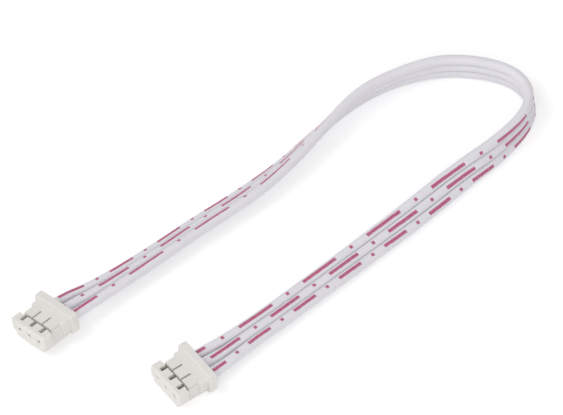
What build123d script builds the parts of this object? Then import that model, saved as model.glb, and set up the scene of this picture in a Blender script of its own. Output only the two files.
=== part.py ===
"""Short three-wire jumper cable with a three-way crimp plug on each end.

Row frame: origin under the middle of plug A, +Y along its wires, +X across its circuits, +Z up.
Everything lies on the plane z = 0. Lengths are in millimetres and angles in degrees.
"""
from build123d import *
import os
from math import atan2, cos, degrees, radians, sin, tan

# Circuits and wire
CIRCUITS = 3
CIRCUIT_PITCH = 2.0            # contact spacing in the plug
JACKET_D = 1.40                # over the insulation of one wire
RIBBON_PITCH = 1.43            # spacing of the three bonded wires
STRAND_BUNDLE_D = 0.48         # seven strands laid together
STRAND_FIT = 0.01              # radial gap between the strands and what is round them

# Plug housing, in its own frame: y = 0 at the mating face, z = 0 underneath
HOUSING_LENGTH = 6.2
BODY_WIDTH = 5.8
BODY_HEIGHT = 3.1
BODY_EDGE_R = 0.22
HEAD_WIDTH = 6.9               # over the two side ribs at the mating end
HEAD_LENGTH = 1.65
RIB_RISE = 0.9                 # how far the side ribs start above the underside
SHOULDER_WIDTH = 6.6
SHOULDER_START = 3.75
RIB_EDGE_R = 0.15
FLANGE_WIDTH = 7.8
FLANGE_HEIGHT = 3.75
FLANGE_START = 5.0
FLANGE_TOP_R = 0.6
FLANGE_FOOT_R = 1.2
FLANGE_EDGE_R = 0.12

# Cavities, latch fingers and openings of the housing
CAVITY_FRONT = 0.85
CAVITY_END = 4.5
CAVITY_FIT = 0.05              # gap between a terminal's box and its cavity, each side
WIRE_BORE_FIT = 0.05           # radial gap between the insulation crimp and the wire bore
ENTRY_SIDE = 0.60
ENTRY_FUNNEL_SIDE = 0.95
ENTRY_FUNNEL_DEPTH = 0.2
TOP_SLOT_WIDTH = 0.65
TOP_SLOT_START = 0.65
FINGER_GAP = 0.35              # crosswise gap between the head and the fingers
SLIT_WIDTH = 0.3
SLIT_END = 3.65
SLIT_DEPTH = 0.85
EDGE_GROOVE_WIDTH = 0.16
EDGE_GROOVE_DEPTH = 0.45
CATCH_WIDTH = 0.9
CATCH_LENGTH = 0.3
CATCH_DROP = 0.25

# Crimp terminal, in the same plug frame
WIRE_AXIS_Z = 1.65
SHEET = 0.15
BOX_WIDTH = 1.2
BOX_HEIGHT = 1.4
BOX_START = 0.9
BOX_END = 3.3
SPRING_WIDTH = 0.6
SPRING_RISE = 0.3
SPRING_INSET = 0.5
KEEL_WIDTH = 0.7
STRAND_CRIMP_START = 3.5
NECK_START = 4.55
NECK_END = 4.75
JACKET_START = 4.8
JACKET_CRIMP_END = 5.75
JACKET_FIT = 0.02              # radial gap between the insulation crimp and the jacket
SEAM_WIDTH = 0.12
STRAND_TAIL = 1.1              # bare strands past the end of the jacket

# Route of the ribbon's middle, from plug A to plug B: x, y, z, then tilt and fanning out.
# Tilt 0 is flat with the printed side up, 90 is on edge with the printed side outwards.
# Fanning out is 0 where the wires lie bonded and 1 where they are as far apart as the circuits.
# The end points also place the plugs; the twist rolls plug B on to the foot of its flange.
ROUTE = [
    (0.0, 1.7, 1.65, 0, 1.0),
    (0.0, 4.6, 1.65, 0, 1.0),
    (-0.5, 9.4, 1.5, 0, 0.1),
    (-1.3, 17.0, 1.2, 0, 0.0),
    (-2.4, 26.0, 1.05, 1, 0.0),
    (-3.4, 35.0, 1.1, 9, 0.0),
    (-4.4, 44.0, 1.4, 26, 0.0),
    (-5.6, 52.5, 1.85, 47, 0.0),
    (-6.2, 60.0, 2.1, 66, 0.0),
    (-8.0, 66.3, 2.15, 79, 0.0),
    (-11.2, 69.4, 2.2, 84, 0.0),
    (-15.4, 69.4, 2.2, 88, 0.0),
    (-19.6, 66.6, 2.2, 90, 0.0),
    (-23.3, 62.1, 2.2, 90, 0.0),
    (-25.2, 56.2, 2.2, 80, 0.0),
    (-25.8, 49.3, 2.2, 79, 0.0),
    (-24.0, 41.6, 2.05, 61, 0.0),
    (-21.9, 34.0, 1.85, 45, 0.0),
    (-20.8, 26.0, 1.65, 31, 0.0),
    (-20.5, 17.5, 1.6, 29, 0.0),
    (-19.7, 8.5, 1.65, 26, 0.0),
    (-19.1, -1.0, 1.95, 17, 0.1),
    (-19.24, -6.0, 2.21, 12, 1.0),
    (-18.86, -8.77, 2.21, 12, 1.0),
]
ARC_SHARE = 0.45               # part of the shorter run that an arc takes up

CIRCUIT_X = [(i - (CIRCUITS - 1) / 2) * CIRCUIT_PITCH for i in range(CIRCUITS)]
JACKET_CRIMP_R = JACKET_D / 2 + JACKET_FIT + SHEET
STRAND_BORE_R = STRAND_BUNDLE_D / 2 + STRAND_FIT
STRAND_CRIMP_R = STRAND_BORE_R + SHEET


def block(width, y_range, z_range, x=0.0):
    """A box centred on x, between two y values and two z values."""
    y0, y1 = y_range
    z0, z1 = z_range
    centre = Pos(x, (y0 + y1) / 2, (z0 + z1) / 2)
    return centre * Box(width, y1 - y0, z1 - z0)


def rod(radius, y_range, x=0.0):
    """A round bar along Y on a circuit's wire axis."""
    y0, y1 = y_range
    turned = Rot(90, 0, 0) * Cylinder(radius, y1 - y0)
    return Pos(x, (y0 + y1) / 2, WIRE_AXIS_Z) * turned


def softened(solid, radius):
    """The solid with all its edges rounded, as a mould leaves them."""
    return fillet(solid.edges(), radius)


def flange():
    """The collar at the wire end, with well rounded feet and a rim above the body."""
    with BuildSketch(Plane.XZ) as outline:
        with Locations((0, FLANGE_HEIGHT / 2)):
            Rectangle(FLANGE_WIDTH, FLANGE_HEIGHT)
        upper = outline.vertices().group_by(Axis.Y)[-1]
        fillet(upper, FLANGE_TOP_R)
        lower = outline.vertices().group_by(Axis.Y)[0]
        fillet(lower, FLANGE_FOOT_R)
    plate = extrude(outline.sketch, amount=-(HOUSING_LENGTH - FLANGE_START))
    return softened(Pos(0, FLANGE_START, 0) * plate, FLANGE_EDGE_R)


def housing_outside():
    """Body, side ribs of the head, shoulders and flange as one moulding."""
    body = softened(block(BODY_WIDTH, (0, HOUSING_LENGTH), (0, BODY_HEIGHT)), BODY_EDGE_R)
    head = block(HEAD_WIDTH, (0, HEAD_LENGTH), (RIB_RISE, BODY_HEIGHT))
    shoulder_y = (SHOULDER_START, FLANGE_START + RIB_EDGE_R * 2)
    shoulder = block(SHOULDER_WIDTH, shoulder_y, (RIB_RISE, BODY_HEIGHT))
    return body + softened(head, RIB_EDGE_R) + softened(shoulder, RIB_EDGE_R) + flange()


def pin_entry(x):
    """The square hole that a header pin goes in by, with its funnel."""
    z_range = (WIRE_AXIS_Z - ENTRY_SIDE / 2, WIRE_AXIS_Z + ENTRY_SIDE / 2)
    throat = block(ENTRY_SIDE, (0, CAVITY_FRONT), z_range, x)
    mouth = Plane.XZ * Pos(x, WIRE_AXIS_Z) * Rectangle(ENTRY_FUNNEL_SIDE, ENTRY_FUNNEL_SIDE)
    bottom = Plane.XZ.offset(-ENTRY_FUNNEL_DEPTH) * Pos(x, WIRE_AXIS_Z)
    bottom *= Rectangle(ENTRY_SIDE, ENTRY_SIDE)
    return throat + loft([mouth.face(), bottom.face()])


def cavity(x):
    """Everything that is cut away for one circuit."""
    half_box = BOX_HEIGHT / 2 + CAVITY_FIT
    z_range = (WIRE_AXIS_Z - half_box, WIRE_AXIS_Z + half_box)
    cell = block(BOX_WIDTH + 2 * CAVITY_FIT, (CAVITY_FRONT, CAVITY_END), z_range, x)
    bore = rod(JACKET_CRIMP_R + WIRE_BORE_FIT, (CAVITY_END - CAVITY_FIT, HOUSING_LENGTH), x)
    top_slot = block(TOP_SLOT_WIDTH, (TOP_SLOT_START, HEAD_LENGTH), (WIRE_AXIS_Z, BODY_HEIGHT), x)
    return cell + bore + top_slot + pin_entry(x)


def latch_cuts():
    """The crosswise gap and the slits that leave one free finger over each circuit."""
    finger_start = HEAD_LENGTH + FINGER_GAP
    cavity_top = WIRE_AXIS_Z + BOX_HEIGHT / 2
    cuts = block(BODY_WIDTH, (HEAD_LENGTH, finger_start), (cavity_top, BODY_HEIGHT))
    slit_y = (HEAD_LENGTH, SLIT_END)
    slit_z = (BODY_HEIGHT - SLIT_DEPTH, BODY_HEIGHT)
    groove_z = (BODY_HEIGHT - EDGE_GROOVE_DEPTH, BODY_HEIGHT)
    for x in CIRCUIT_X[:-1]:
        cuts += block(SLIT_WIDTH, slit_y, slit_z, x + CIRCUIT_PITCH / 2)
    for side in (-1, 1):
        edge = side * (BODY_WIDTH - EDGE_GROOVE_WIDTH) / 2
        cuts += block(EDGE_GROOVE_WIDTH, slit_y, groove_z, edge)
    return cuts


def catch(x):
    """The step under a finger that the terminal's box locks behind."""
    cavity_top = WIRE_AXIS_Z + BOX_HEIGHT / 2 + CAVITY_FIT
    start = BOX_END + CAVITY_FIT
    z_range = (cavity_top - CATCH_DROP, cavity_top + SHEET)
    return block(CATCH_WIDTH, (start, start + CATCH_LENGTH), z_range, x)


def housing():
    """One moulded housing with its cavities, slots and latch fingers."""
    solid = housing_outside() - latch_cuts()
    for x in CIRCUIT_X:
        solid -= cavity(x)
    for x in CIRCUIT_X:
        solid += catch(x)
    return solid


def crimp(outer_r, inner_r, y_range, x):
    """A rolled barrel with its seam open along the top."""
    y0, y1 = y_range
    tube = rod(outer_r, y_range, x) - rod(inner_r, (y0 - SHEET, y1 + SHEET), x)
    seam = block(SEAM_WIDTH, y_range, (WIRE_AXIS_Z, WIRE_AXIS_Z + outer_r + SHEET), x)
    return tube - seam


def terminal(x):
    """One folded terminal: contact box with its spring, strand crimp and insulation crimp."""
    floor = WIRE_AXIS_Z - BOX_HEIGHT / 2
    roof = WIRE_AXIS_Z + BOX_HEIGHT / 2
    outside = block(BOX_WIDTH, (BOX_START, BOX_END), (floor, roof), x)
    inside = block(BOX_WIDTH - 2 * SHEET, (0, HOUSING_LENGTH), (floor + SHEET, roof - SHEET), x)
    spring_y = (BOX_START + SPRING_INSET, BOX_END - SPRING_INSET)
    spring = block(SPRING_WIDTH, spring_y, (floor, floor + SHEET + SPRING_RISE), x)
    keel = block(KEEL_WIDTH, (BOX_END - SHEET, NECK_START), (floor, WIRE_AXIS_Z - STRAND_BORE_R), x)
    neck = rod(JACKET_CRIMP_R, (NECK_START, NECK_END), x) - rod(STRAND_BORE_R, (0, HOUSING_LENGTH), x)
    strand_crimp = crimp(STRAND_CRIMP_R, STRAND_BORE_R, (STRAND_CRIMP_START, NECK_START), x)
    jacket_crimp = crimp(JACKET_CRIMP_R, JACKET_D / 2 + JACKET_FIT, (NECK_END, JACKET_CRIMP_END), x)
    return (outside - inside) + spring + keel + neck + strand_crimp + jacket_crimp


def plug_a_place():
    """Plug A lies flat on its underside, crimped on the near end of the ribbon."""
    return Pos(*ROUTE[0][:3]) * Pos(0, -JACKET_START, -WIRE_AXIS_Z)


def plug_b_place():
    """Plug B is crimped on the far end: it turns and rolls with the ribbon there."""
    outside, inside = ROUTE[-2:]
    turn = degrees(atan2(inside[0] - outside[0], outside[1] - inside[1]))
    turned = Rot(0, 0, turn) * Rot(0, -inside[3], 0)
    return Pos(*inside[:3]) * turned * Pos(0, -JACKET_START, -WIRE_AXIS_Z)


def wire_points(lane):
    """The route moved sideways to one wire: lane -1 is the inner wire and +1 the outer one."""
    points = []
    for i, (x, y, z, tilt, fanning) in enumerate(ROUTE):
        before = ROUTE[max(i - 1, 0)]
        after = ROUTE[min(i + 1, len(ROUTE) - 1)]
        heading = Vector(after[0] - before[0], after[1] - before[1], 0).normalized()
        outwards = Vector(heading.Y, -heading.X, 0)
        across = outwards * cos(radians(tilt)) - Vector(0, 0, sin(radians(tilt)))
        spacing = RIBBON_PITCH + fanning * (CIRCUIT_PITCH - RIBBON_PITCH)
        points.append(Vector(x, y, z) + across * (lane * spacing))
    return points


def corner_radii(points):
    """One arc radius for each corner, as large as its shorter run allows."""
    radii = []
    for before, corner, after in zip(points, points[1:], points[2:]):
        run_in = corner - before
        run_out = after - corner
        turn = radians(run_in.get_angle(run_out))
        shorter = min(run_in.length, run_out.length)
        radii.append(ARC_SHARE * shorter / tan(turn / 2))
    return radii


def swept(points, radii, outer_r, bore_r=0.0):
    """A round bar or tube along straight runs joined by tangent arcs."""
    path = FilletPolyline(*points, radius=radii)
    section = Circle(outer_r)
    area = section.area
    if bore_r:
        section -= Circle(bore_r)
        area = section.area
    start = Plane(origin=path @ 0, z_dir=path % 0)
    solid = sweep(start * section, path=path)
    print(f"  length {path.length:.2f}, volume {solid.volume:.3f}, section x length {area * path.length:.3f}")
    return solid


def wire(lane):
    """One insulated wire: its jacket and the strands inside it."""
    points = wire_points(lane)
    radii = corner_radii(points)
    print(f"lane {lane:+d} radii", [round(r, 1) for r in radii])
    jacket = swept(points, radii, JACKET_D / 2, STRAND_BORE_R)
    head = (points[0] - points[1]).normalized() * STRAND_TAIL
    tail = (points[-1] - points[-2]).normalized() * STRAND_TAIL
    longer = [points[0] + head] + points[1:-1] + [points[-1] + tail]
    strands = swept(longer, radii, STRAND_BUNDLE_D / 2)
    return jacket, strands


def save(solid, node):
    """Write one node to its own file."""
    solid.label = node
    export_step(solid, f"parts/{node}.step")


def main():
    os.makedirs("parts", exist_ok=True)
    shell = housing()
    for letter, place in (("a", plug_a_place()), ("b", plug_b_place())):
        save(place * shell, f"housing_{letter}")
        for number, x in enumerate(CIRCUIT_X, start=1):
            save(place * terminal(x), f"terminal_{letter}{number}")
    for number, lane in enumerate((-1, 0, 1), start=1):
        jacket, strands = wire(lane)
        save(jacket, f"wire_jacket_{number}")
        save(strands, f"wire_strands_{number}")


main()
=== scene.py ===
"""Studio scene of a short three-wire jumper cable with a moulded plug on each end.

The sections follow the cable as it is put together: wires, strands, contacts, housings.
"""
import bpy
from math import cos, pi, radians, sin
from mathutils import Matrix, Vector


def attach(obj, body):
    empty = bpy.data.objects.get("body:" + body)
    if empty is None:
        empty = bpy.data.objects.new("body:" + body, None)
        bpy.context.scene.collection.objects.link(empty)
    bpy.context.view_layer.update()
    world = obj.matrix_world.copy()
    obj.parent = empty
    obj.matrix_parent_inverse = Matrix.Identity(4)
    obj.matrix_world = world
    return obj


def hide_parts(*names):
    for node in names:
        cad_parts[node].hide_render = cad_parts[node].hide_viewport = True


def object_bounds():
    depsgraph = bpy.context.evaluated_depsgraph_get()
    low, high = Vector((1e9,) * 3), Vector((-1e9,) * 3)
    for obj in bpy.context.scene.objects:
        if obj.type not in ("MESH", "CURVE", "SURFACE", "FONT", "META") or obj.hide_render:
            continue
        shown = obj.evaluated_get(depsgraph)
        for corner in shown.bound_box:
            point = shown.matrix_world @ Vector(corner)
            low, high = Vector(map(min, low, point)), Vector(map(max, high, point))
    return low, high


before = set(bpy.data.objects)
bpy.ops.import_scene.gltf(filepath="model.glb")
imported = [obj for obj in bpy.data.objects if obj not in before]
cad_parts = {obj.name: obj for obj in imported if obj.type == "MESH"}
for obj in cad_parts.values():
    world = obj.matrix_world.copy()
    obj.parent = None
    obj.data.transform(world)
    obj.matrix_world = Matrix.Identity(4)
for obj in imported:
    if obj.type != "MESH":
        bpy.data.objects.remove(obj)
cad_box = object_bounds()

MM = 0.001


# Camera. A long lens looks down on the cable from about fifty degrees, so that both plugs,
# both legs and the fold at the far end are in view with almost no perspective.
CAMERA_HEIGHT = radians(52)
CAMERA_DISTANCE = 1.10917
aim = Vector((-17.16, 29.46, 0.0)) * MM
sideways = Vector((0.8076, -0.590, 0.0)) * cos(CAMERA_HEIGHT)
towards_camera = sideways + Vector((0.0, 0.0, sin(CAMERA_HEIGHT)))
camera_data = bpy.data.cameras.new("studio_camera")
camera_data.lens = 500
camera_data.sensor_width = 36
camera = bpy.data.objects.new("studio_camera", camera_data)
camera.location = aim + towards_camera * CAMERA_DISTANCE
camera.rotation_euler = towards_camera.to_track_quat("Z", "Y").to_euler()
bpy.context.scene.collection.objects.link(camera)
bpy.context.scene.camera = camera
bpy.context.scene.view_settings.view_transform = "Standard"


# Flat ribbon of three bonded wires. Each wire is a length of stranded copper with a PVC jacket
# extruded on to it. The ribbon leaves plug A flat, turns on to its edge for the fold at the far
# end, comes back half over and fans out again into plug B.
JACKET_D = 1.40
RIBBON_PITCH = 1.43
CIRCUIT_PITCH = 2.0

# Middle of the ribbon: x, y, z in metres, then tilt in degrees and fanning out from 0 to 1.
ROUTE = [
    (0.0000, 0.0017, 0.00165, 0, 1.0),
    (0.0000, 0.0046, 0.00165, 0, 1.0),
    (-0.0005, 0.0094, 0.00150, 0, 0.1),
    (-0.0013, 0.0170, 0.00120, 0, 0.0),
    (-0.0024, 0.0260, 0.00105, 1, 0.0),
    (-0.0034, 0.0350, 0.00110, 9, 0.0),
    (-0.0044, 0.0440, 0.00140, 26, 0.0),
    (-0.0056, 0.0525, 0.00185, 47, 0.0),
    (-0.0062, 0.0600, 0.00210, 66, 0.0),
    (-0.0080, 0.0663, 0.00215, 79, 0.0),
    (-0.0112, 0.0694, 0.00220, 84, 0.0),
    (-0.0154, 0.0694, 0.00220, 88, 0.0),
    (-0.0196, 0.0666, 0.00220, 90, 0.0),
    (-0.0233, 0.0621, 0.00220, 90, 0.0),
    (-0.0252, 0.0562, 0.00220, 80, 0.0),
    (-0.0258, 0.0493, 0.00220, 79, 0.0),
    (-0.0240, 0.0416, 0.00205, 61, 0.0),
    (-0.0219, 0.0340, 0.00185, 45, 0.0),
    (-0.0208, 0.0260, 0.00165, 31, 0.0),
    (-0.0205, 0.0175, 0.00160, 29, 0.0),
    (-0.0197, 0.0085, 0.00165, 26, 0.0),
    (-0.0191, -0.0010, 0.00195, 17, 0.1),
    (-0.01924, -0.00600, 0.00221, 12, 1.0),
    (-0.01886, -0.00877, 0.00221, 12, 1.0),
]


def lane_points(lane):
    """The route moved sideways to one wire: -1 is the inner wire and +1 the outer one."""
    points = []
    for i, (x, y, z, tilt, fanning) in enumerate(ROUTE):
        before = ROUTE[max(i - 1, 0)]
        after = ROUTE[min(i + 1, len(ROUTE) - 1)]
        heading = Vector((after[0] - before[0], after[1] - before[1], 0)).normalized()
        outwards = Vector((heading.y, -heading.x, 0))
        across = outwards * cos(radians(tilt)) - Vector((0, 0, sin(radians(tilt))))
        spacing = (RIBBON_PITCH + fanning * (CIRCUIT_PITCH - RIBBON_PITCH)) * MM
        points.append(Vector((x, y, z)) + across * (lane * spacing))
    return points


LINE_STEPS = 24


def line_along(points):
    """The points that a smooth line along the route passes, read from its NURBS spline."""
    curve = bpy.data.curves.new("wire_line", "CURVE")
    curve.dimensions = "3D"
    curve.resolution_u = LINE_STEPS
    spline = curve.splines.new("NURBS")
    spline.points.add(len(points) - 1)
    for control, point in zip(spline.points, points):
        control.co = (*point, 1)
    spline.order_u = 3
    spline.use_endpoint_u = True
    holder = bpy.data.objects.new("wire_line", curve)
    bpy.context.scene.collection.objects.link(holder)
    mesh = bpy.data.meshes.new_from_object(holder)
    line = [v.co.copy() for v in mesh.vertices]
    bpy.data.objects.remove(holder)
    bpy.data.curves.remove(curve)
    bpy.data.meshes.remove(mesh)
    return line


def directions(line):
    """The unit direction of a line at each of its points."""
    last = len(line) - 1
    return [(line[min(i + 1, last)] - line[max(i - 1, 0)]).normalized() for i in range(last + 1)]


def round_piece(name, line, crests, outline):
    """A closed tube on a line. outline(turn, along) gives its radius in mm.

    The UV map runs along the piece and round it from its crest, both in millimetres.
    """
    sides = 40      # round the section
    verts = []
    along = [0.0]
    for before, after in zip(line, line[1:]):
        along.append(along[-1] + (after - before).length / MM)
    for centre, crest, heading, far in zip(line, crests, directions(line), along):
        up = (crest - heading * crest.dot(heading)).normalized()
        side = heading.cross(up)
        for j in range(sides):
            turn = 2 * pi * j / sides - pi
            radius = outline(turn, far) * MM
            verts.append(centre + (up * cos(turn) + side * sin(turn)) * radius)
    faces = []
    marks = []
    rim = 2 * pi * outline(0, 0) / sides
    for i in range(len(line) - 1):
        for j in range(sides):
            k = (j + 1) % sides
            faces.append((i * sides + j, i * sides + k, (i + 1) * sides + k, (i + 1) * sides + j))
            near = rim * (j - sides / 2)
            marks += [(along[i], near), (along[i], near + rim)]
            marks += [(along[i + 1], near + rim), (along[i + 1], near)]
    end = (len(line) - 1) * sides
    faces.append(tuple(reversed(range(sides))))
    faces.append(tuple(range(end, end + sides)))
    marks += [(0.0, rim * sides / 2)] * (2 * sides)
    mesh = bpy.data.meshes.new(name)
    mesh.from_pydata(verts, [], faces)
    uv = mesh.uv_layers.new(name="along_and_round")
    for loop, mark in zip(uv.data, marks):
        loop.uv = mark
    mesh.shade_smooth()
    piece = bpy.data.objects.new(name, mesh)
    bpy.context.scene.collection.objects.link(piece)
    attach(piece, "root")
    return piece


def linear(colour):
    """An sRGB hex colour as linear RGBA."""
    parts = [int(colour[i:i + 2], 16) / 255 for i in (0, 2, 4)]
    return [c / 12.92 if c <= 0.04045 else ((c + 0.055) / 1.055) ** 2.4 for c in parts] + [1.0]


def add(tree, kind, links=None, **settings):
    """Adds a node: links maps its inputs to sockets or plain values."""
    made = tree.nodes.new(kind)
    for key, value in settings.items():
        setattr(made, key, value)
    for key, value in (links or {}).items():
        if isinstance(value, bpy.types.NodeSocket):
            tree.links.new(value, made.inputs[key])
        else:
            made.inputs[key].default_value = value
    return made


def blank(name):
    """A new material and its node tree, still empty."""
    material = bpy.data.materials.new(name)
    material.use_nodes = True
    material.node_tree.nodes.clear()
    return material, material.node_tree


def printed_pvc(name, period, dash, start, slip):
    """White extruded PVC with a printed line: a dash, a dot in the gap, and a dash again.

    Plasticised PVC is satin and slightly cloudy. The ink lies in it without a step of its own,
    its edge is a little soft, and it is thinner where the print wheel pressed less.
    """
    dash_width = 0.52
    dot_length = 0.50
    soft_edge = 0.09
    material, tree = blank(name)
    marks = add(tree, "ShaderNodeUVMap", uv_map="along_and_round")
    place = add(tree, "ShaderNodeSeparateXYZ", {0: marks.outputs[0]})
    past_fold = add(tree, "ShaderNodeMath", {0: place.outputs[0], 1: FOLD_ALONG},
                    operation="GREATER_THAN")
    first = add(tree, "ShaderNodeMath", {0: past_fold.outputs[0], 1: slip, 2: start},
                operation="MULTIPLY_ADD")
    shifted = add(tree, "ShaderNodeMath", {0: place.outputs[0], 1: first.outputs[0]},
                  operation="SUBTRACT")
    phase = add(tree, "ShaderNodeMath", {0: shifted.outputs[0], 1: period},
                operation="FLOORED_MODULO")
    strokes = []
    for middle, length in ((dash / 2, dash), ((dash + period) / 2, dot_length)):
        apart = add(tree, "ShaderNodeMath", {0: phase.outputs[0], 1: middle}, operation="SUBTRACT")
        size = add(tree, "ShaderNodeMath", {0: apart.outputs[0]}, operation="ABSOLUTE")
        edge = add(tree, "ShaderNodeMapRange", {
            "Value": size.outputs[0], "From Min": length / 2 + soft_edge,
            "From Max": length / 2 - soft_edge}, interpolation_type="SMOOTHSTEP")
        strokes.append(edge)
    either = add(tree, "ShaderNodeMath", {0: strokes[0].outputs[0], 1: strokes[1].outputs[0]},
                 operation="MAXIMUM")
    off_crest = add(tree, "ShaderNodeMath", {0: place.outputs[1]}, operation="ABSOLUTE")
    wobble = add(tree, "ShaderNodeTexNoise", {
        "Vector": marks.outputs[0], "Scale": 1.6, "Detail": 3.0})
    ragged = add(tree, "ShaderNodeMath", {
        0: wobble.outputs[0], 1: 0.12, 2: -0.06}, operation="MULTIPLY_ADD")
    from_crest = add(tree, "ShaderNodeMath", {0: off_crest.outputs[0], 1: ragged.outputs[0]})
    stripe = add(tree, "ShaderNodeMapRange", {
        "Value": from_crest.outputs[0], "From Min": dash_width / 2 + soft_edge,
        "From Max": dash_width / 2 - soft_edge}, interpolation_type="SMOOTHSTEP")
    inked = add(tree, "ShaderNodeMath", {0: either.outputs[0], 1: stripe.outputs[0]},
                operation="MULTIPLY")
    cover = add(tree, "ShaderNodeTexNoise", {
        "Vector": marks.outputs[0], "Scale": 5.0, "Detail": 2.0})
    cover_share = add(tree, "ShaderNodeMapRange", {
        "Value": cover.outputs[0], "From Min": 0.25, "From Max": 0.6, "To Min": 0.72})
    ink = add(tree, "ShaderNodeMath", {0: inked.outputs[0], 1: cover_share.outputs[0]},
              operation="MULTIPLY")
    cloud = add(tree, "ShaderNodeTexNoise", {
        "Vector": marks.outputs[0], "Scale": 0.35, "Detail": 3.0})
    vinyl = add(tree, "ShaderNodeMix", {
        0: cloud.outputs[0], 6: linear("E3E0E7"), 7: linear("EDEBF0")}, data_type="RGBA")
    ink_colour = add(tree, "ShaderNodeMix", {
        0: cover.outputs[0], 6: linear("AC3A68"), 7: linear("C44B7C")}, data_type="RGBA")
    colour = add(tree, "ShaderNodeMix", {
        0: ink.outputs[0], 6: vinyl.outputs[2], 7: ink_colour.outputs[2]}, data_type="RGBA")
    # The die leaves faint lines along the jacket, about 0.15 mm apart.
    stretched = add(tree, "ShaderNodeMapping", {0: marks.outputs[0], "Scale": (0.25, 6.5, 1.0)})
    lines = add(tree, "ShaderNodeTexNoise", {
        "Vector": stretched.outputs[0], "Scale": 1.0, "Detail": 2.0})
    relief = add(tree, "ShaderNodeBump", {
        "Strength": 0.18, "Distance": 0.00002, "Height": lines.outputs[0]})
    gloss = add(tree, "ShaderNodeMapRange", {
        "Value": lines.outputs[0], "To Min": 0.36, "To Max": 0.50})
    shader = add(tree, "ShaderNodeBsdfPrincipled", {
        "Base Color": colour.outputs[2], "Roughness": gloss.outputs[0], "IOR": 1.54,
        "Normal": relief.outputs[0], "Subsurface Weight": 0.12,
        "Subsurface Radius": (0.6, 0.5, 0.5), "Subsurface Scale": 0.0004})
    out = add(tree, "ShaderNodeOutputMaterial")
    tree.links.new(shader.outputs[0], out.inputs[0])
    return material


# Each wire's print in mm: its period, the dash, the start of a dash near plug A, and how much
# later the print runs past the fold. The wires are marked by separate wheels, so none match.
FOLD_ALONG = 90.0
PRINTS = {1: (12.18, 6.25, 9.4, 5.5), 2: (11.25, 5.45, 3.0, 4.35), 3: (8.68, 4.2, 8.9, 2.07)}

lanes = {number: lane_points(lane) for number, lane in ((1, -1), (2, 0), (3, 1))}
lines = {number: line_along(points) for number, points in lanes.items()}
headings = directions(lines[2])
crests = [(outer - inner).cross(heading).normalized()
          for inner, outer, heading in zip(lines[1], lines[3], headings)]

FULLNESS = 2.3      # 2 is a plain round, and more fills out the shoulders


def bonded(turn, far):
    """Outline of one jacket in mm: full shoulders, and sides that meet the next wire's."""
    high = abs(cos(turn) / (JACKET_D / 2)) ** FULLNESS
    wide = abs(sin(turn) / (RIBBON_PITCH / 2)) ** FULLNESS
    return (high + wide) ** (-1 / FULLNESS)


for number, line in lines.items():
    jacket = round_piece(f"pvc_jacket_{number}", line, crests, bonded)
    jacket.data.materials.append(printed_pvc(f"extruded_pvc_{number}", *PRINTS[number]))
    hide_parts(f"wire_jacket_{number}")


# Strands. Seven fine copper wires, tinned in a bath and twisted together, run through each
# jacket and stand out of both ends, where the contacts grip them.
STRAND_D = 0.16
STRAND_TAIL = 1.1
TWIST_LAY = 9.0

tinned_copper, tree = blank("tinned_copper")
marks = add(tree, "ShaderNodeUVMap", uv_map="along_and_round")
dull = add(tree, "ShaderNodeTexNoise", {"Vector": marks.outputs[0], "Scale": 3.0, "Detail": 4.0})
tin = add(tree, "ShaderNodeMix", {
    0: dull.outputs[0], 6: linear("C9C6BF"), 7: linear("DAD8D3")}, data_type="RGBA")
haze = add(tree, "ShaderNodeMapRange", {"Value": dull.outputs[0], "To Min": 0.22, "To Max": 0.42})
shader = add(tree, "ShaderNodeBsdfPrincipled", {
    "Base Color": tin.outputs[2], "Metallic": 1.0, "Roughness": haze.outputs[0]})
out = add(tree, "ShaderNodeOutputMaterial")
tree.links.new(shader.outputs[0], out.inputs[0])


def twisted(turn, far):
    """Outline of six strands laid round a seventh, in mm."""
    lobe = (6 * (turn + 2 * pi * far / TWIST_LAY)) % (2 * pi) - pi
    return STRAND_D * (1.32 + 0.18 * cos(lobe))


for number, points in lanes.items():
    tail = STRAND_TAIL * MM
    near = points[0] + (points[0] - points[1]).normalized() * tail
    far = points[-1] + (points[-1] - points[-2]).normalized() * tail
    line = line_along([near] + points[1:-1] + [far])
    bundle = round_piece(f"copper_strands_{number}", line, crests, twisted)
    bundle.data.materials.append(tinned_copper)
    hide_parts(f"wire_strands_{number}")


# Contacts. Each is folded from thin phosphor bronze, barrel plated with tin, and crimped on to
# the strands and the jacket. They show only as metal down in the housings' slots, and their tin
# is coloured darker than bright tin, as painted shade for the depth of the slots.
tin_plate, tree = blank("tin_plated_bronze")
spot = add(tree, "ShaderNodeTexCoord")
grain = add(tree, "ShaderNodeTexNoise", {
    "Vector": spot.outputs["Object"], "Scale": 2500.0, "Detail": 4.0})
# Both tin tones are darker than real tin: painted shade for the slots the contacts sit in.
tin_with_painted_slot_shade = add(tree, "ShaderNodeMix", {
    0: grain.outputs[0], 6: linear("8E8A7E"), 7: linear("B5B1A4")}, data_type="RGBA")
haze = add(tree, "ShaderNodeMapRange", {"Value": grain.outputs[0], "To Min": 0.28, "To Max": 0.5})
relief = add(tree, "ShaderNodeBump", {
    "Strength": 0.2, "Distance": 0.00001, "Height": grain.outputs[0]})
shader = add(tree, "ShaderNodeBsdfPrincipled", {
    "Base Color": tin_with_painted_slot_shade.outputs[2], "Metallic": 1.0, "Roughness": haze.outputs[0],
    "Normal": relief.outputs[0]})
out = add(tree, "ShaderNodeOutputMaterial")
tree.links.new(shader.outputs[0], out.inputs[0])

for plug in "ab":
    for number in (1, 2, 3):
        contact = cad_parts[f"terminal_{plug}{number}"]
        contact.data.materials.clear()
        contact.data.materials.append(tin_plate)


# Housings. Natural nylon, injection moulded in one shot: warm white, cloudy when thin, with the
# fine satin of an eroded mould and faint flow marks, slightly greyer in patches.
nylon, tree = blank("moulded_natural_nylon")
spot = add(tree, "ShaderNodeTexCoord")
flow = add(tree, "ShaderNodeTexNoise", {
    "Vector": spot.outputs["Object"], "Scale": 260.0, "Detail": 3.0, "Distortion": 1.2})
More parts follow.
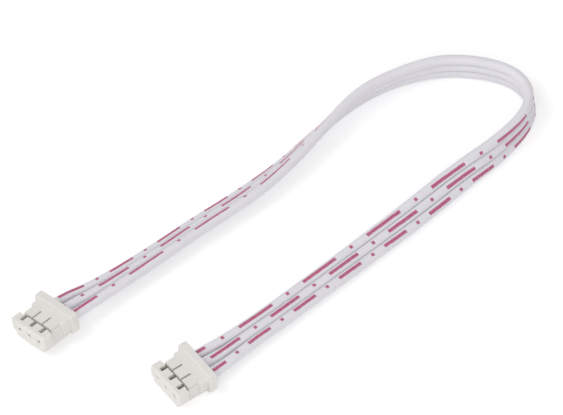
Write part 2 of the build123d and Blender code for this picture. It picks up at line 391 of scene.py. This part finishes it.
# Grain of the mould about 0.08 mm across, a little coarser than real so that it shows.
satin = add(tree, "ShaderNodeTexNoise", {
    "Vector": spot.outputs["Object"], "Scale": 9000.0, "Detail": 3.0})
skin = add(tree, "ShaderNodeMix", {
    0: flow.outputs[0], 6: linear("E2DFDA"), 7: linear("EFEDE9")}, data_type="RGBA")
haze = add(tree, "ShaderNodeMapRange", {"Value": satin.outputs[0], "To Min": 0.34, "To Max": 0.56})
both = add(tree, "ShaderNodeMath", {0: flow.outputs[0], 1: 0.5, 2: satin.outputs[0]},
           operation="MULTIPLY_ADD")
relief = add(tree, "ShaderNodeBump", {
    "Strength": 0.25, "Distance": 0.00002, "Height": both.outputs[0]})
shader = add(tree, "ShaderNodeBsdfPrincipled", {
    "Base Color": skin.outputs[2], "Roughness": haze.outputs[0], "IOR": 1.53,
    "Normal": relief.outputs[0], "Subsurface Weight": 0.15,
    "Subsurface Radius": (0.8, 0.7, 0.6), "Subsurface Scale": 0.0005})
out = add(tree, "ShaderNodeOutputMaterial")
tree.links.new(shader.outputs[0], out.inputs[0])

for plug in "ab":
    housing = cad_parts[f"housing_{plug}"]
    housing.data.materials.clear()
    housing.data.materials.append(nylon)


# Table. A sheet of matt white card under the cable, which keeps its soft shadow and reads as
# white round it.
card, tree = blank("matt_white_card")
rays = add(tree, "ShaderNodeLightPath")
seen = add(tree, "ShaderNodeMath", {
    0: rays.outputs["Is Camera Ray"], 1: rays.outputs["Is Glossy Ray"]}, operation="MAXIMUM")
shown = add(tree, "ShaderNodeMath", {
    0: seen.outputs[0], 1: rays.outputs["Is Transmission Ray"]}, operation="MAXIMUM")
lift = add(tree, "ShaderNodeMath", {0: shown.outputs[0], 1: 0.36}, operation="MULTIPLY")
paper = add(tree, "ShaderNodeBsdfDiffuse", {"Color": linear("EDEDED")})
glow = add(tree, "ShaderNodeEmission", {"Strength": lift.outputs[0]})
total = add(tree, "ShaderNodeAddShader", {0: paper.outputs[0], 1: glow.outputs[0]})
out = add(tree, "ShaderNodeOutputMaterial")
tree.links.new(total.outputs[0], out.inputs[0])

TABLE_HALF = 1.5
corners = [(x * TABLE_HALF, y * TABLE_HALF, 0) for x, y in ((-1, -1), (1, -1), (1, 1), (-1, 1))]
table_mesh = bpy.data.meshes.new("table")
table_mesh.from_pydata(corners, [], [(0, 1, 2, 3)])
table_mesh.materials.append(card)
table = bpy.data.objects.new("table", table_mesh)
TABLE_GAP = 0.01 * MM
table.location = (0, 0, min(cad_box[0][2], 0.0) - TABLE_GAP)
bpy.context.scene.collection.objects.link(table)


# Light. An even white room, with one large soft lamp high on the plugs' mating side and a weak
# one opposite.
world = bpy.data.worlds.new("white_room")
bpy.context.scene.world = world
world.use_nodes = True
tree = world.node_tree
tree.nodes.clear()
rays = add(tree, "ShaderNodeLightPath")
level = add(tree, "ShaderNodeMapRange", {
    "Value": rays.outputs["Is Camera Ray"], "To Min": 0.60, "To Max": 1.0})
sky = add(tree, "ShaderNodeBackground", {
    "Color": linear("FFFFFF"), "Strength": level.outputs[0]})
out = add(tree, "ShaderNodeOutputWorld")
tree.links.new(sky.outputs[0], out.inputs[0])


def lamp(name, direction, distance, size, power):
    """A square soft lamp that looks at the middle of the cable."""
    data = bpy.data.lights.new(name, "AREA")
    data.size = size
    data.energy = power
    holder = bpy.data.objects.new(name, data)
    towards = Vector(direction).normalized()
    holder.location = aim + towards * distance
    holder.rotation_euler = towards.to_track_quat("Z", "Y").to_euler()
    bpy.context.scene.collection.objects.link(holder)


lamp("key_lamp", (-0.45, -0.75, 1.1), 0.60, 0.35, 0.9)
lamp("fill_lamp", (0.8, -0.6, 0.5), 0.70, 0.50, 1.3)
